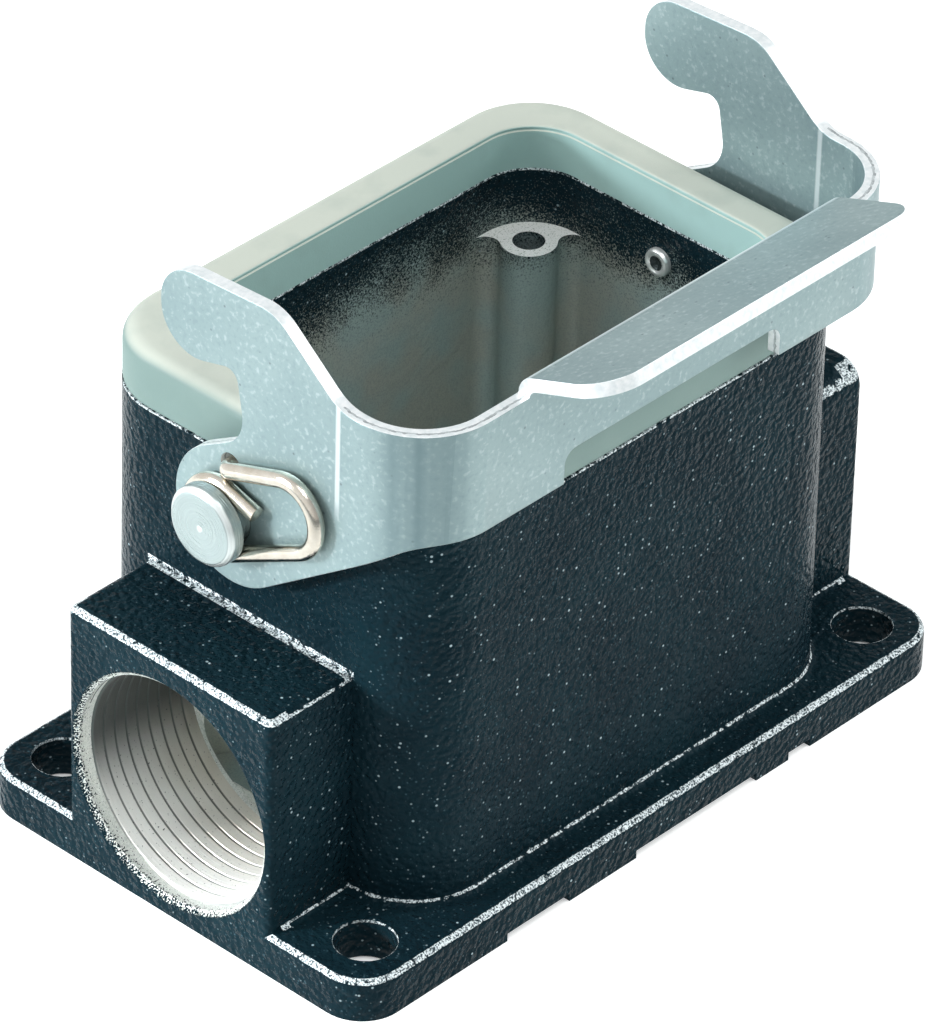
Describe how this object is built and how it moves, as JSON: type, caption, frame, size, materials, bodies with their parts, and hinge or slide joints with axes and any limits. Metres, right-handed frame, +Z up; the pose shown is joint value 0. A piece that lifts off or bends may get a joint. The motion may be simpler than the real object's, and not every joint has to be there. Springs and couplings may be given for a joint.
{
  "type": "heavy duty rectangular connector",
  "caption": "Surface-mounted housing of a heavy duty rectangular connector with a threaded side cable entry, a seal on its open rim and a hinged locking lever.",
  "frame": {"origin": "centre of the four foot holes, in the plane of the mounting face under the plate", "axes": "+Z up, out of the open rim; +X along the plate's length, from the cable entry towards the closed end; the lever's handle is on the -Y side"},
  "size_m": [0.0842, 0.0612, 0.0688],
  "materials": {
    "coated_casting": "die cast, black textured powder coat, bare metal in the bored and machined places",
    "seal_elastomer": "matt, pale grey-green",
    "plated_sheet_steel": "satin zinc plate",
    "turned_steel": "turned, bright plated",
    "plated_spring_wire": "polished, warm nickel tone"
  },
  "bodies": {
    "housing": {"housing": "coated_casting", "rim_seal": "seal_elastomer", "pivot_pin_cable_end": "turned_steel", "pivot_pin_closed_end": "turned_steel"},
    "lever": {"locking_lever": "plated_sheet_steel", "wire_clip_cable_end": "plated_spring_wire", "wire_clip_closed_end": "plated_spring_wire"}
  },
  "joints": [
    {"name": "lever_hinge", "type": "hinge", "parent": "housing", "child": "lever", "pos_m": [0, 0, 0.0435], "axis": [1, 0, 0], "range_deg": [-110, 38]}
  ]
}
